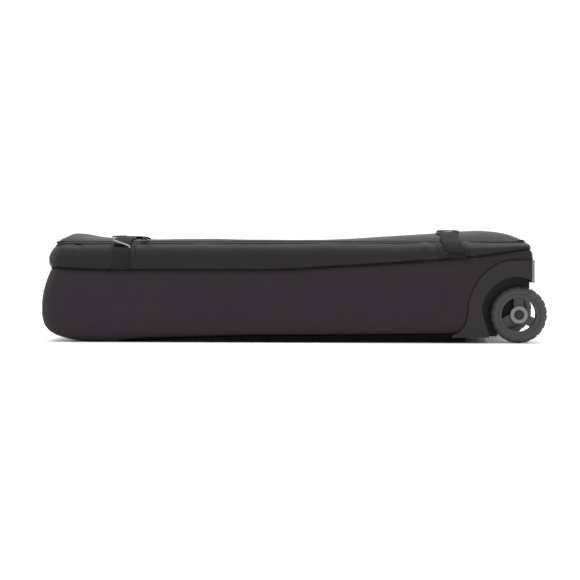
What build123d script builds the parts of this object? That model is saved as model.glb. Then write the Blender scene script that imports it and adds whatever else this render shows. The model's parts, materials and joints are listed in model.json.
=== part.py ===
"""Wheeled gear bag: a padded tub with a zipped lid, a skid tray and two corner wheels.

Frame: X along the bag with the wheels at +X, Y across it, Z up. The origin is on the
floor under the middle of the bag. Millimetres. The X of every table and dimension below
is measured from a datum near the middle, and save() moves it all by DATUM_X.
"""
from build123d import *
from functools import lru_cache
import math
import os

# ---- overall size -------------------------------------------------------------
DATUM_X = 5.5              # puts the origin under the middle of the whole bag
HEAD_X = -545.0            # furthest bulge of the head end
WHEEL_X = 474.0            # axle position along the bag
WHEEL_R = 60.0             # tyre radius, so the wheel end is WHEEL_X + WHEEL_R
HALF_W = 180.0             # half the bag's width
SHELL_END_X = 505.5        # wheel end of the fabric shell
CROWN_Z = 246.0            # top of the end view's crown, above the side view's crest
ZIP_Z = 214.0              # height of the lid's long edges
ZIP_Y = 150.0              # zip line on the near side and hinge line on the far side
PAD = 8.0                  # padded panel thickness

# ---- lid outline in plan --------------------------------------------------------
LID_X0 = -515.0
LID_X1 = 488.0
LID_CORNER_R = 30.0
LID_LOW_Z = 200.0          # the lid is cut from the shell above this height
LID_GAP = 0.6              # half the gap between the two sides of the zip
ZIP_HALF = 4.4             # width of one side of the zip
ZIP_PROUD = 1.5            # the zip's coil stands above the fabric
HINGE_GAP = 0.5

# ---- wheel housing --------------------------------------------------------------
HOUSING_END_X = 500.0
HOUSING_OUT_Y = 181.0      # outer face of the moulded fender
HOUSING_IN_Y = 122.0       # inner face of the wheel well
HOUSING_WALL = 3.0
FENDER_FACE = 5.0
WELL_FLOOR = 4.0           # thickness of the well's inner wall
FENDER_TOP_Z = 175.5

# ---- wheel ----------------------------------------------------------------------
TYRE_OUT_Y = 176.0
TYRE_W = 42.0
RIM_OUT_R = 45.0
RIM_IN_R = 36.5
RIM_W = 34.0
HUB_R = 19.0
HUB_OUT_Y = 171.0
HUB_W = 31.0
SPOKE_W = 21.0
SPOKES = 3
BEARING_R = 11.0
BEARING_W = 7.0
AXLE_R = 4.0
AXLE_CLEAR = 0.05
RING_R = 18.0
RING_HOLE_R = 10.6
BOSS_R = 14.0
RUN_GAP = 0.5

# ---- skid tray ------------------------------------------------------------------
SKID_X0 = -380.0
SKID_T = 4.0

# ---- straps ---------------------------------------------------------------------
STRAP_W = 38.0
STRAP_T = 2.1
STRAP_OFF = 2.0            # underside of a top strap above the lid, clear of the zip
PATCH_W = 62.0
PATCH_T = 1.5
STRAPS = {"head": -365.0, "wheel": 338.0}
HOOK_TILT = {"head": 19.0, "wheel": -12.0}
HOOK_Z = {"head": 211.0, "wheel": 214.0}

# ---- zip slider -----------------------------------------------------------------
SLIDER_X = -322.0
SLIDER_L = 15.0
SLIDER_W = 10.0


def outline(points, radius):
    """Closed sketch face from corner points with rounded corners."""
    edges = FilletPolyline(*points, radius=radius, close=True)
    return make_face(edges)


def side_prism(face, y0, y1):
    """Sketch in the XZ plane, extruded from y0 to y1."""
    return extrude(Plane.XZ.offset(-y1) * face, amount=y1 - y0)


def end_prism(face, x0, x1):
    """Sketch in the YZ plane, extruded from x0 to x1."""
    return extrude(Plane.YZ.offset(x0) * face, amount=x1 - x0)


def plan_prism(face, z0, z1):
    """Sketch in the XY plane, extruded from z0 to z1."""
    return extrude(Plane.XY.offset(z0) * face, amount=z1 - z0)


def block(x0, x1, y0, y1, z0, z1):
    centre = ((x0 + x1) / 2, (y0 + y1) / 2, (z0 + z1) / 2)
    return Pos(*centre) * Box(x1 - x0, y1 - y0, z1 - z0)


def rod_y(x, z, r, y0, y1):
    return Pos(x, (y0 + y1) / 2, z) * Rot(90, 0, 0) * Cylinder(r, y1 - y0)


def rod_x(y, z, r, x0, x1):
    return Pos((x0 + x1) / 2, y, z) * Rot(0, 90, 0) * Cylinder(r, x1 - x0)


def rod_z(x, y, r, z0, z1):
    return Pos(x, y, (z0 + z1) / 2) * Cylinder(r, z1 - z0)


def far(shape):
    """The same piece on the opposite side of the bag."""
    return mirror(shape, about=Plane.XZ)


# ---- the bag's outer form: a side view, an end view and a plan, intersected -------
SIDE = [
    ((-455, 0), 120), ((-528, 26), 22), ((-546, 62), 50), ((-542, 103), 80),
    ((-523, 160), 60), ((-524, 192), 40), ((-514, 220), 28), ((-492, 237), 24),
    ((-446, 227.5), 60), ((-340, 221.5), 300), ((-60, 218), 1500), ((90, 218), 1200),
    ((250, 229.5), 350), ((332, 237.5), 300), ((417, 241.5), 90), ((486, 213), 60),
    ((504.5, 186), 40), ((505.5, 128), 0), ((430, 12), 0), ((366, 12), 3), ((358, 0), 6),
]
SIDE_FACE = outline([p for p, _ in SIDE], [r for _, r in SIDE])
PLAN_CORNER_HEAD = 28.0
PLAN_CORNER_WHEEL = 22.0
BOTTOM_R = 28.0


def end_face():
    crown_r = (ZIP_Y ** 2 + (CROWN_Z - ZIP_Z) ** 2) / (2 * (CROWN_Z - ZIP_Z))
    top = RadiusArc((-ZIP_Y, ZIP_Z), (ZIP_Y, ZIP_Z), crown_r)
    sides = FilletPolyline(
        (ZIP_Y, ZIP_Z), (172, 203), (HALF_W, 165), (HALF_W, 0), (-HALF_W, 0),
        (-HALF_W, 165), (-172, 203), (-ZIP_Y, ZIP_Z),
        radius=[22, 60, BOTTOM_R, BOTTOM_R, 60, 22])
    return make_face(Curve() + [top, sides])


def plan_face():
    corners = [(HEAD_X, -HALF_W), (HEAD_X, HALF_W), (SHELL_END_X, HALF_W),
               (SHELL_END_X, -HALF_W)]
    radii = [PLAN_CORNER_HEAD, PLAN_CORNER_HEAD, PLAN_CORNER_WHEEL, PLAN_CORNER_WHEEL]
    return outline(corners, radii)


END_FACE = end_face()
PLAN_FACE = plan_face()
REACH = 600.0


def grown(face, by):
    """A sketch face offset outwards by a distance."""
    return offset(face, amount=by) if by else face


@lru_cache(maxsize=None)
def form(by=0.0):
    """The bag's outer form, grown (or shrunk) by a distance."""
    side = side_prism(grown(SIDE_FACE, by), -300, 300)
    end = end_prism(grown(END_FACE, by), -REACH, REACH)
    plan = plan_prism(grown(PLAN_FACE, by), -100, 400)
    return side & end & plan


def skin(inner, outer):
    """Layer of the outer form between two distances from it."""
    return form(outer) - form(inner)


# ---- seam between the lower and upper fabric ---------------------------------------
SEAM = [(-700, 166), (-500, 158), (-400, 153.5), (-70, 153.5), (56, 159), (226, 169.6),
        (396, 184), (500, 200), (700, 232)]
PIPING_R = 2.0


def under_seam(shift):
    top = [(x, z + shift) for x, z in SEAM]
    face = make_face(Polyline(*top, (700, -100), (-700, -100), close=True))
    return side_prism(face, -400, 400)


def seam_z(x):
    """Height of the seam at a place along the bag."""
    for (x0, z0), (x1, z1) in zip(SEAM, SEAM[1:]):
        if x0 <= x <= x1:
            return z0 + (z1 - z0) * (x - x0) / (x1 - x0)
    raise ValueError(x)


# ---- wheel housing outline and well --------------------------------------------------
BELLY_Z = 12.0
FENDER = [
    ((334, BELLY_Z), 0), ((334, 17.5), 2), ((346, 22), 20), ((356, 31.5), 25),
    ((362.5, 45), 35), ((366, 62), 60), ((367.3, 80), 80), ((371, 98), 80), ((379, 118), 80),
    ((391.5, 137.5), 80), ((407.5, 153.5), 80), ((427, 166.8), 80), ((445, 173.5), 60),
    ((463, FENDER_TOP_Z), 60), ((HOUSING_END_X, FENDER_TOP_Z), 0), ((HOUSING_END_X, 116), 0),
    ((430, BELLY_Z), 0),
]
WELL = [
    ((412, -60), 0), ((411, 18), 60), ((401.5, 46), 60), ((396.5, 63), 60), ((396, 77), 40),
    ((399, 89), 40), ((406, 104), 50), ((416, 116.5), 60), ((430, 127.8), 60), ((444, 136), 60),
    ((458, 139.8), 50), ((473, 140.5), 50), ((487, 137.5), 50), ((600, 101.5), 0), ((600, -60), 0),
]


def fender_face():
    return outline([p for p, _ in FENDER], [r for _, r in FENDER])


def well_face():
    return outline([p for p, _ in WELL], [r for _, r in WELL])


def near_housing_zone():
    """Room that the near housing takes out of the fabric, open beyond its outer face."""
    return side_prism(fender_face(), -HOUSING_OUT_Y - 2, -HOUSING_IN_Y)


ARM_T = 8.0                # the boss's arm stands this far into the well
ARM_DROP = 14.0
SLOPE = math.degrees(math.atan2(116 - BELLY_Z, HOUSING_END_X - 430))


def wheel_housing():
    """Moulded near-side housing: fender face, hollow rim round the well, inner wall, boss."""
    band = fender_face() - well_face()
    body = side_prism(band, -HOUSING_OUT_Y, -HOUSING_IN_Y)
    hollow = side_prism(offset(band, amount=-HOUSING_WALL),
                        -HOUSING_OUT_Y + FENDER_FACE, -HOUSING_IN_Y + 1)
    wall = fender_face() & offset(well_face(), amount=HOUSING_WALL)
    wall = side_prism(wall, -HOUSING_IN_Y - WELL_FLOOR, -HOUSING_IN_Y)
    boss = rod_y(WHEEL_X, WHEEL_R, BOSS_R, -HUB_OUT_Y + HUB_W + RUN_GAP, -HOUSING_IN_Y)
    arm = Pos(0, -HOUSING_IN_Y - ARM_T / 2, ARM_DROP) * Box(2 * BOSS_R, ARM_T, 2 * BOSS_R)
    arm = Pos(WHEEL_X, 0, WHEEL_R) * Rot(0, -SLOPE, 0) * arm
    bore = rod_y(WHEEL_X, WHEEL_R, AXLE_R, -200, 0)
    return (body - hollow) + wall + boss + arm - bore


# ---- bumper across the wheel end -------------------------------------------------------
BUMPER_Z0 = 128.0
BUMPER_X1 = 505.8
BUMPER_CORNER_R = 4.0
BUMPER_SCREW_Z = (140.0, 164.0)
BUMPER_SCREW_Y = 152.0
SCREW_R = 2.0
SCREW_HEAD_R = 4.0


def bumper():
    bar = block(HOUSING_END_X, BUMPER_X1, -HALF_W, HALF_W, BUMPER_Z0, FENDER_TOP_Z)
    outer = bar.edges().filter_by(Axis.Z).sort_by(Axis.X)[-2:]
    return fillet(outer, BUMPER_CORNER_R)


def bumper_screws():
    screws = []
    for side in (-1, 1):
        for z in BUMPER_SCREW_Z:
            y = side * BUMPER_SCREW_Y
            shank = rod_x(y, z, SCREW_R, HOUSING_END_X - 12, BUMPER_X1 - 1)
            head = rod_x(y, z, SCREW_HEAD_R, BUMPER_X1 - 2, BUMPER_X1 + 0.8)
            screws.append(shank + head)
    return screws


# ---- skid tray and its screws ------------------------------------------------------------
SKID_SCREW_X = (-260.0, -70.0, 90.0, 300.0)
RAIL_Y = 95.0
BOARD_T = 3.0
RAIL_T = 3.0
RAIL_W = 14.0


def skid_zone():
    points = [(SKID_X0, -60), (SKID_X0, 0.8), (-240, 8), (-114, 13.5), (204, 17), (331, 18.4),
              (352, 17.4), (368, 13), (368, -60)]
    return side_prism(make_face(Polyline(*points, close=True)), -300, 300)


def skid_tray():
    return skin(-SKID_T, 0.0) & skid_zone()


def base_board():
    return block(-425, 335, -145, 145, PAD, PAD + BOARD_T)


def frame_rails():
    top = PAD + BOARD_T
    return [block(-415, 328, y - RAIL_W / 2, y + RAIL_W / 2, top, top + RAIL_T)
            for y in (-RAIL_Y, RAIL_Y)]


def skid_screws():
    top = PAD + BOARD_T + RAIL_T
    screws = []
    for x in SKID_SCREW_X:
        for y in (-RAIL_Y, RAIL_Y):
            shank = rod_z(x, y, SCREW_R, 1.0, top + 2)
            head = rod_z(x, y, SCREW_HEAD_R, 0.8, 2.6)
            nut = rod_z(x, y, SCREW_HEAD_R, top, top + 3)
            screws.append(shank + head + nut)
    return screws


# ---- lid -----------------------------------------------------------------------------------
def lid_plan(by, far_y):
    """Plan of the lid grown by a distance, square against the hinge line at far_y."""
    points = [(LID_X0 - by, far_y), (LID_X0 - by, -ZIP_Y - by), (LID_X1 + by, -ZIP_Y - by),
              (LID_X1 + by, far_y)]
    radii = [0, LID_CORNER_R + by, LID_CORNER_R + by, 0]
    return plan_prism(outline(points, radii), LID_LOW_Z, 400)


def lid_panel():
    return skin(-PAD, 0.0) & lid_plan(-LID_GAP, ZIP_Y - HINGE_GAP)


def zip_lid_side():
    ring = lid_plan(-LID_GAP, ZIP_Y - HINGE_GAP) - lid_plan(-ZIP_HALF, 300)
    return skin(-2.0, ZIP_PROUD) & ring


def zip_shell_side():
    ring = lid_plan(ZIP_HALF, ZIP_Y) - lid_plan(LID_GAP, 300)
    return skin(-2.0, ZIP_PROUD) & ring


# ---- straps ---------------------------------------------------------------------------------
FAR = 400.0


def strap_slot(x, width):
    return (x - width / 2, x + width / 2)


def lid_strap(x):
    x0, x1 = strap_slot(x, STRAP_W)
    over = skin(STRAP_OFF, STRAP_OFF + STRAP_T)
    return over & block(x0, x1, -176, ZIP_Y - HINGE_GAP, 200, FAR)


def near_web(x):
    x0, x1 = strap_slot(x, STRAP_W)
    over = skin(PATCH_T, PATCH_T + STRAP_T)
    return over & block(x0, x1, -FAR, -100, seam_z(x) + 5, 196.5)


def far_web(x):
    x0, x1 = strap_slot(x, STRAP_W)
    over = skin(PATCH_T, PATCH_T + STRAP_T)
    return over & block(x0, x1, ZIP_Y + 3, FAR, seam_z(x) + 5, FAR)


def patch(x, side):
    x0, x1 = strap_slot(x, PATCH_W)
    over = skin(0.0, PATCH_T)
    y0, y1 = (-FAR, -158) if side < 0 else (158, FAR)
    return over & block(x0, x1, y0, y1, seam_z(x) + 6, FAR)


HOOK_Y0 = -181.9
HOOK_Y1 = -176.6
KEEPER_R = 0.9
KEEPER_Y = -179.0
KEEPER_Z = 194.0


def strap_hook(name, x):
    z = HOOK_Z[name]
    bar = Box(STRAP_W + 1, HOOK_Y1 - HOOK_Y0, 4.2)
    bar = fillet(bar.edges().filter_by(Axis.X), 1.2)
    bar = Pos(x, (HOOK_Y0 + HOOK_Y1) / 2, z) * Rot(0, HOOK_TILT[name], 0) * bar
    lip = block(x - 12, x + 12, HOOK_Y0, HOOK_Y0 + 1.6, KEEPER_Z - 4, z)
    return bar + lip


def keeper(x):
    """Wire standing on the near webbing, which the hook drops over."""
    return rod_x(KEEPER_Y, KEEPER_Z, KEEPER_R, x - STRAP_W / 2, x + STRAP_W / 2)


GLIDE_Y = -95.0


def glide(x, lid_top):
    """Three-bar slider on the top strap, laid on the crown."""
    crown_r = (ZIP_Y ** 2 + (CROWN_Z - ZIP_Z) ** 2) / (2 * (CROWN_Z - ZIP_Z))
    arc_z = CROWN_Z - crown_r + math.sqrt(crown_r ** 2 - GLIDE_Y ** 2)
    flat = lid_top < arc_z
    z = min(lid_top, arc_z) + STRAP_OFF + STRAP_T + 1.9
    tilt = 0 if flat else math.degrees(math.asin(-GLIDE_Y / crown_r))
    frame = extrude(RectangleRounded(STRAP_W + 10, 26, 4), amount=3)
    slots = [Pos(0, y, 0) * Box(STRAP_W, 5, 10) for y in (-6.5, 6.5)]
    return Pos(x, GLIDE_Y, z) * Rot(tilt, 0, 0) * (frame - slots)


# ---- haul handle --------------------------------------------------------------------------------
HANDLE_Z0 = 162.0
HANDLE_Z1 = 187.0
HANDLE_Y = 62.0
HANDLE_FOOT = 12.0
HANDLE_GAP = 6.0
HANDLE_T = 2.4
HEAD_FACE_X = -524.0


def handle_patch():
    return skin(0.0, 0.8) & block(-560, -480, -72, 72, HANDLE_Z0 + 1, HANDLE_Z1 - 1)


def haul_handle():
    x = HEAD_FACE_X - HANDLE_GAP
    grip = block(x - HANDLE_T, x, -HANDLE_Y, HANDLE_Y, HANDLE_Z0, HANDLE_Z1)
    feet = [block(x, HEAD_FACE_X + 3, y - HANDLE_FOOT / 2, y + HANDLE_FOOT / 2, HANDLE_Z0,
                  HANDLE_Z1) for y in (HANDLE_FOOT / 2 - HANDLE_Y, HANDLE_Y - HANDLE_FOOT / 2)]
    return (grip + feet) - form(0.8)


# ---- inner tie-down straps ------------------------------------------------------------------------
TIE_X = {"head": -210.0, "wheel": 140.0}
TIE_W = 25.0
TIE_Z = PAD + BOARD_T + RAIL_T + 0.2


def tie_strap(x):
    return [block(x - TIE_W / 2, x + TIE_W / 2, y0, y1, TIE_Z, TIE_Z + 2)
            for y0, y1 in ((-140, -26), (26, 140))]


def buckle_socket(x):
    body = block(x - 17, x + 17, -25.6, 8, TIE_Z, TIE_Z + 9)
    body = fillet(body.edges().filter_by(Axis.Z), 4)
    return body - block(x - 13, x + 13, -12, 9, TIE_Z + 2, TIE_Z + 7)


def buckle_plug(x):
    plug = block(x - 12.5, x + 12.5, -11.5, 9, TIE_Z + 2.3, TIE_Z + 6.7)
    collar = block(x - 17, x + 17, 8.4, 25.6, TIE_Z, TIE_Z + 9)
    collar = fillet(collar.edges().filter_by(Axis.Z), 4)
    return plug + collar


# ---- zip slider and pull ----------------------------------------------------------------------------
SLIDER_RISE = 4.1          # underside of the slider above the zip line, clear of the coil
PIVOT_R = 1.0
PIVOT_Z = ZIP_Z + 9.0
PIVOT_CLEAR = 0.06


def zip_slider():
    z0 = ZIP_Z + SLIDER_RISE
    plate = block(SLIDER_X - SLIDER_L / 2, SLIDER_X + SLIDER_L / 2, -ZIP_Y - SLIDER_W / 2,
                  -ZIP_Y + SLIDER_W / 2, z0, z0 + 2.6)
    plate = fillet(plate.edges().filter_by(Axis.Z), 3)
    ears = [block(SLIDER_X - 3, SLIDER_X + 3, y - 0.8, y + 0.8, z0, PIVOT_Z + 2.2)
            for y in (-ZIP_Y - 3.6, -ZIP_Y + 3.6)]
    bore = rod_y(SLIDER_X, PIVOT_Z, PIVOT_R + PIVOT_CLEAR, -200, -100)
    return (plate + ears) - bore


PULL_L = 34.0
PULL_W = 5.2


def zip_pull():
    pin = rod_y(SLIDER_X, PIVOT_Z, PIVOT_R, -ZIP_Y - 4.8, -ZIP_Y + 4.8)
    tab = block(SLIDER_X, SLIDER_X + PULL_L, -ZIP_Y - PULL_W / 2, -ZIP_Y + PULL_W / 2,
                PIVOT_Z - PIVOT_R, PIVOT_Z + PIVOT_R)
    end = sorted(tab.edges().filter_by(Axis.Z), key=lambda e: e.center().X)[-2:]
    tab = fillet(end, 2.4)
    hole = rod_z(SLIDER_X + PULL_L - 4, -ZIP_Y, 1.2, PIVOT_Z - 5, PIVOT_Z + 5)
    return tab + pin - hole


# ---- wheel ---------------------------------------------------------------------------------------------
LUGS = 24
LUG_H = 3.0
LUG_L = 9.0
SPOKE_T = 15.0


def at_axle(shape):
    return Pos(WHEEL_X, 0, WHEEL_R) * shape


def ring_y(r_out, r_in, y0, y1):
    return at_axle(rod_y(0, 0, r_out, y0, y1) - rod_y(0, 0, r_in, y0 - 1, y1 + 1))


def tread_section(radius, chamfer, y0, y1):
    """Half section of the tyre as (y, radius) corners, chamfered at both shoulders."""
    return [(y0, RIM_OUT_R - 3), (y0, radius - chamfer), (y0 + chamfer * 0.6, radius),
            (y1 - chamfer * 0.6, radius), (y1, radius - chamfer), (y1, RIM_OUT_R - 3)]


def tyre():
    y0, y1 = -TYRE_OUT_Y, -TYRE_OUT_Y + TYRE_W
    carcass = make_face(Polyline(*tread_section(WHEEL_R - LUG_H, 8, y0, y1), close=True))
    body = revolve(Plane.YZ * carcass, Axis.Y)
    block_face = make_face(Polyline(*tread_section(WHEEL_R, 10, y0 + 1, y1 - 1), close=True))
    lug = extrude(Plane.YZ.offset(-LUG_L / 2) * block_face, amount=LUG_L)
    lug = lug - Box(LUG_L + 2, 400, 2 * RIM_OUT_R + 12)
    lug = mirror(lug, about=Plane.XY)
    for n in range(LUGS):
        body = body + Rot(0, 360 / LUGS * n, 0) * lug
    return at_axle(body - rod_y(0, 0, RIM_OUT_R, -300, 0))


def rim():
    mid = -TYRE_OUT_Y + TYRE_W / 2
    hub_y1 = -HUB_OUT_Y + HUB_W
    ring = rod_y(0, 0, RIM_OUT_R, mid - RIM_W / 2, mid + RIM_W / 2)
    ring = ring - rod_y(0, 0, RIM_IN_R, -300, 0)
    hub = rod_y(0, 0, HUB_R, -HUB_OUT_Y, hub_y1)
    spoke = Pos(0, mid - 2, (HUB_R + RIM_IN_R) / 2) * Box(SPOKE_W, SPOKE_T, RIM_IN_R - HUB_R + 4)
    spokes = [Rot(0, 360 / SPOKES * n, 0) * spoke for n in range(SPOKES)]
    body = ring + hub + spokes
    body = body - rod_y(0, 0, BEARING_R - 2.5, -300, 0)
    body = body - rod_y(0, 0, BEARING_R, -HUB_OUT_Y - 1, -HUB_OUT_Y + BEARING_W)
    return at_axle(body - rod_y(0, 0, BEARING_R, hub_y1 - BEARING_W, hub_y1 + 1))


def bearings():
    hub_y1 = -HUB_OUT_Y + HUB_W
    pair = []
    for y0 in (-HUB_OUT_Y, hub_y1 - BEARING_W):
        ring = ring_y(BEARING_R, AXLE_R + AXLE_CLEAR, y0, y0 + BEARING_W)
        for face in (y0, y0 + BEARING_W):
            ring = ring - ring_y(BEARING_R - 2, AXLE_R + 2, face - 0.6, face + 0.6)
        pair.append(ring)
    return pair


def hub_ring():
    return ring_y(RING_R, RING_HOLE_R, -HUB_OUT_Y - 2.5, -HUB_OUT_Y)


def spacer():
    return ring_y(AXLE_R + 2, AXLE_R + AXLE_CLEAR, -HUB_OUT_Y + BEARING_W,
                  -HUB_OUT_Y + HUB_W - BEARING_W)


NUT_R = 7.5


def axle_bolt():
    head_y = -HUB_OUT_Y - RUN_GAP
    shank = rod_y(WHEEL_X, WHEEL_R, AXLE_R, head_y, -HOUSING_IN_Y + 9)
    head = rod_y(WHEEL_X, WHEEL_R, 7, head_y - 3.6, head_y)
    head = fillet(head.edges().filter_by(GeomType.CIRCLE).sort_by(Axis.Y)[0], 1.5)
    socket = Plane.XZ.offset(-head_y + 4) * RegularPolygon(3, 6)
    socket = Pos(WHEEL_X, 0, WHEEL_R) * extrude(socket, amount=2.4)
    socket = Pos(0, head_y - 3.6 + 2.4 - socket.bounding_box().max.Y, 0) * socket
    return shank + head - socket


def axle_nut():
    nut = extrude(Plane.XZ * RegularPolygon(NUT_R, 6), amount=6.5)
    nut = Pos(WHEEL_X, -HOUSING_IN_Y + 6.5, WHEEL_R) * nut
    return nut - rod_y(WHEEL_X, WHEEL_R, AXLE_R, -200, 0)


# ---- the fabric panels -----------------------------------------------------------------------------------
SIDE_SPLIT = 150.0
UPPER_SPLIT = 110.0
HEAD_SPLIT = -440.0
WHEEL_SPLIT = 372.0
BIG = 700.0


def panels():
    shell = skin(-PAD, 0.0)
    piping = skin(-1.5, PIPING_R) & (under_seam(PIPING_R) - under_seam(-PIPING_R))
    housings = near_housing_zone()
    housings = housings + far(housings)
    bar_zone = block(HOUSING_END_X, 560, -200, 200, BUMPER_Z0, FENDER_TOP_Z)
    for side in (-1, 1):
        inner, outer = sorted((side * HOUSING_IN_Y, side * 200))
        bar_zone = bar_zone + block(HOUSING_END_X, 560, inner, outer, 0, BUMPER_Z0)
    tray = skid_tray() - housings
    below = under_seam(0.0)
    lower = (shell & below) - piping - tray - housings - bar_zone
    upper = shell - below - piping - lid_plan(LID_GAP, ZIP_Y) - zip_shell_side()
    found = {"seam_piping": piping, "skid_tray": tray}
    found["far_side_panel"] = lower & block(-BIG, BIG, SIDE_SPLIT, BIG, -BIG, BIG)
    found["near_side_panel"] = far(found["far_side_panel"])
    mid = lower & block(-BIG, BIG, -SIDE_SPLIT, SIDE_SPLIT, -BIG, BIG)
    found["head_end_panel"] = mid & block(-BIG, HEAD_SPLIT, -BIG, BIG, -BIG, BIG)
    found["base_panel"] = mid & block(HEAD_SPLIT, WHEEL_SPLIT, -BIG, BIG, -BIG, BIG)
    found["wheel_end_panel"] = mid & block(WHEEL_SPLIT, BIG, -BIG, BIG, -BIG, BIG)
    found["near_shoulder"] = upper & block(-BIG, BIG, -BIG, -UPPER_SPLIT, -BIG, BIG)
    found["far_shoulder"] = upper & block(-BIG, BIG, UPPER_SPLIT, BIG, -BIG, BIG)
    ends = upper & block(-BIG, BIG, -UPPER_SPLIT, UPPER_SPLIT, -BIG, BIG)
    found["head_shoulder"] = ends & block(-BIG, 0, -BIG, BIG, -BIG, BIG)
    at_wheels = ends & block(0, BIG, -BIG, BIG, -BIG, BIG)
    found["wheel_shoulder"] = max(at_wheels.solids(), key=lambda solid: solid.volume)
    return found


def save(name, shape):
    pieces = shape if isinstance(shape, list) else [shape]
    solids = [Pos(DATUM_X, 0, 0) * solid for piece in pieces for solid in piece.solids()]
    export_step(Compound(label=name, children=solids), f"parts/{name}.step")


def main():
    os.makedirs("parts", exist_ok=True)
    nodes = panels()
    near_housing = wheel_housing()
    screws = bumper_screws()
    fixings = skid_screws()
    nodes["skid_tray"] = nodes["skid_tray"] - fixings
    nodes["base_panel"] = nodes["base_panel"] - fixings
    nodes["base_board"] = base_board() - fixings
    nodes["frame_rails"] = [rail - fixings for rail in frame_rails()]
    nodes["skid_screws"] = fixings
    nodes["wheel_housing_near"] = near_housing - screws
    nodes["wheel_housing_far"] = far(near_housing) - screws
    nodes["bumper_bar"] = bumper() - screws
    nodes["bumper_screws"] = screws
    nodes["lid_panel"] = lid_panel() - zip_lid_side()
    nodes["zip_lid_side"] = zip_lid_side()
    nodes["zip_shell_side"] = zip_shell_side()
    nodes["zip_slider"] = zip_slider()
    nodes["zip_pull"] = zip_pull()
    nodes["haul_handle"] = haul_handle()
    nodes["handle_patch"] = handle_patch()
    lid_tops = {"head": 223.7, "wheel": CROWN_Z}
    for name, x in STRAPS.items():
        nodes[f"lid_strap_{name}"] = lid_strap(x)
        nodes[f"strap_hook_{name}"] = strap_hook(name, x)
        nodes[f"strap_glide_{name}"] = glide(x, lid_tops[name])
        nodes[f"near_web_{name}"] = near_web(x)
        nodes[f"far_web_{name}"] = far_web(x)
        nodes[f"strap_keeper_{name}"] = keeper(x)
        nodes[f"patch_near_{name}"] = patch(x, -1)
        nodes[f"patch_far_{name}"] = patch(x, 1)
    for name, x in TIE_X.items():
        nodes[f"tie_strap_{name}"] = tie_strap(x)
        nodes[f"tie_buckle_socket_{name}"] = buckle_socket(x)
        nodes[f"tie_buckle_plug_{name}"] = buckle_plug(x)
    turning = {"tyre": tyre(), "rim": rim(), "bearings": bearings(), "hub_ring": hub_ring(),
               "bearing_spacer": spacer()}
    for name, shape in turning.items():
        nodes[f"{name}_near"] = shape
        parts = shape if isinstance(shape, list) else [shape]
        nodes[f"{name}_far"] = [far(piece) for piece in parts]
    nodes["axle_bolts"] = [axle_bolt(), far(axle_bolt())]
    nodes["axle_nuts"] = [axle_nut(), far(axle_nut())]
    for name, shape in nodes.items():
        save(name, shape)


main()
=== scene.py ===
"""Wheeled snowboard bag: the looks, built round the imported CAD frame."""
import json
import math

import bmesh
import bpy
import numpy as np
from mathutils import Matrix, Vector, noise


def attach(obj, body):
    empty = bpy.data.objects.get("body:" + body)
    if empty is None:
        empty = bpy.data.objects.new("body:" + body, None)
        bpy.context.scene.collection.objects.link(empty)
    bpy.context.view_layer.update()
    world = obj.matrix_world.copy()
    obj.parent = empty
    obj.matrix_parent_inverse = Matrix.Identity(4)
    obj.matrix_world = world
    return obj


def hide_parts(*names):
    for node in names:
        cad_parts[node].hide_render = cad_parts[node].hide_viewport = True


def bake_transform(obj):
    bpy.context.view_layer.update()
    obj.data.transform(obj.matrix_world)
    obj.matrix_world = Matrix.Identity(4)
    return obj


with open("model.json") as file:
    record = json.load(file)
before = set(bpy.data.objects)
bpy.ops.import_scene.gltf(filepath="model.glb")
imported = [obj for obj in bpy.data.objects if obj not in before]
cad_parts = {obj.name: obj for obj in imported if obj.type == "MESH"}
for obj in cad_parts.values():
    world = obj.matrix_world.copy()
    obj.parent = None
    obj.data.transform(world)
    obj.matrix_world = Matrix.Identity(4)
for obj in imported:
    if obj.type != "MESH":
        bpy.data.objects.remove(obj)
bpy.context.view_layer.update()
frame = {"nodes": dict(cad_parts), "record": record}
NODES = frame["nodes"]
MM = 0.001
DATUM_X = 0.0055           # every X below is measured from a datum this far along the bag

# ---- camera: nearly side-on, a little towards the wheel end and above -----------------------
AIM = Vector((-0.008 + DATUM_X, -0.180, 0.112))
CAMERA_DISTANCE = 3.2
CAMERA_AZIMUTH = math.radians(3.0)
CAMERA_ELEVATION = math.radians(1.35)
camera_data = bpy.data.cameras.new("camera")
camera_data.lens = 94.0
camera = bpy.data.objects.new("camera", camera_data)
bpy.context.scene.collection.objects.link(camera)
towards = Vector((math.sin(CAMERA_AZIMUTH) * math.cos(CAMERA_ELEVATION),
                  -math.cos(CAMERA_AZIMUTH) * math.cos(CAMERA_ELEVATION),
                  math.sin(CAMERA_ELEVATION)))
camera.location = AIM + towards * CAMERA_DISTANCE
camera.rotation_euler = towards.to_track_quat("Z", "Y").to_euler()
bpy.context.scene.camera = camera
bpy.context.scene.view_settings.view_transform = "Standard"


# ---- small numeric helpers ------------------------------------------------------------------
def smooth(x, low, high):
    t = np.clip((np.asarray(x, float) - low) / (high - low), 0.0, 1.0)
    return t * t * (3 - 2 * t)


def curve(keys, column, x):
    """Smooth monotone curve through a table's rows: column 0 is the input."""
    table = np.array(keys, float)
    px, py = table[:, 0], table[:, column]
    step = np.diff(px)
    slope = np.diff(py) / step
    tangent = np.zeros(len(px))
    inner = slope[:-1] * slope[1:] > 0
    mean = 2 * slope[:-1] * slope[1:] / (slope[:-1] + slope[1:] + 1e-12)
    tangent[1:-1] = np.where(inner, mean, 0.0)
    tangent[0], tangent[-1] = slope[0], slope[-1]
    x = np.clip(np.asarray(x, float), px[0], px[-1])
    k = np.clip(np.searchsorted(px, x) - 1, 0, len(step) - 1)
    t = (x - px[k]) / step[k]
    a, b = py[k], py[k + 1]
    da, db = tangent[k] * step[k], tangent[k + 1] * step[k]
    return (a * (2 * t**3 - 3 * t**2 + 1) + da * (t**3 - 2 * t**2 + t)
            + b * (3 * t**2 - 2 * t**3) + db * (t**3 - t**2))


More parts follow.
